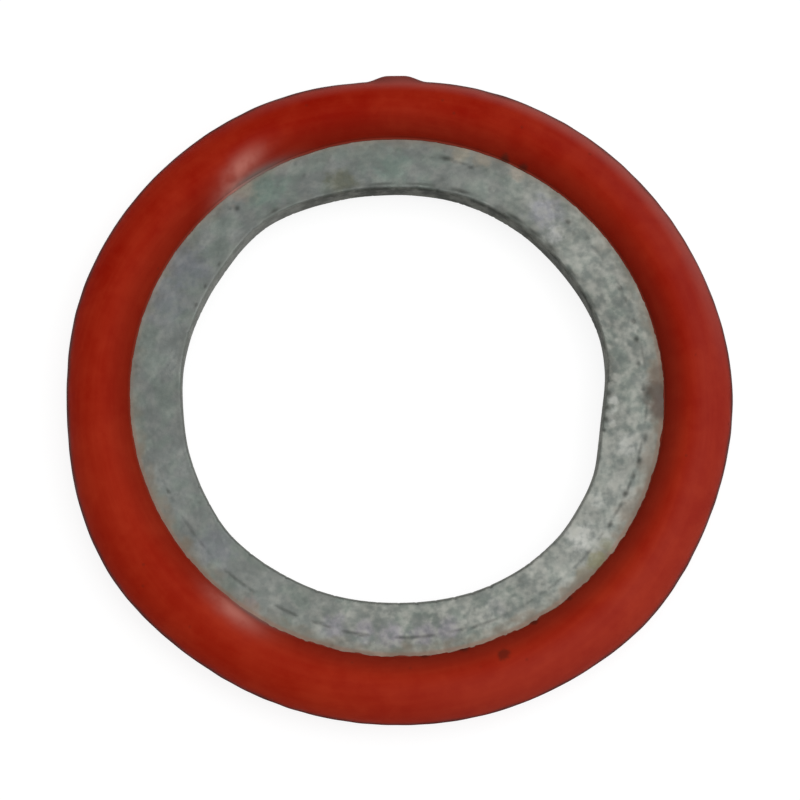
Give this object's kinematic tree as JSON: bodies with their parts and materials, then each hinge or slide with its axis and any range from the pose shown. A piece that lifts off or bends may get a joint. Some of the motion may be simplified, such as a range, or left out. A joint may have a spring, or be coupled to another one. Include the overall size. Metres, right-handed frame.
{
  "type": "hose gasket",
  "caption": "Flat grey steel ring with a round red rubber bead moulded on its rim, and a small moulding nub on the outside.",
  "frame": {"origin": "centre of the bore on the mid-plane of the steel ring", "axes": "+Z along the bore, +Y towards the moulding nub on the rim"},
  "size_m": [0.065, 0.0656, 0.0068],
  "materials": {
    "zinc_steel": "dull zinc plate, mottled and lightly stained",
    "red_rubber": "smooth moulded rubber with a soft sheen"
  },
  "bodies": {
    "root": {"steel_ring": "zinc_steel", "rubber_bead": "red_rubber"}
  },
  "joints": []
}
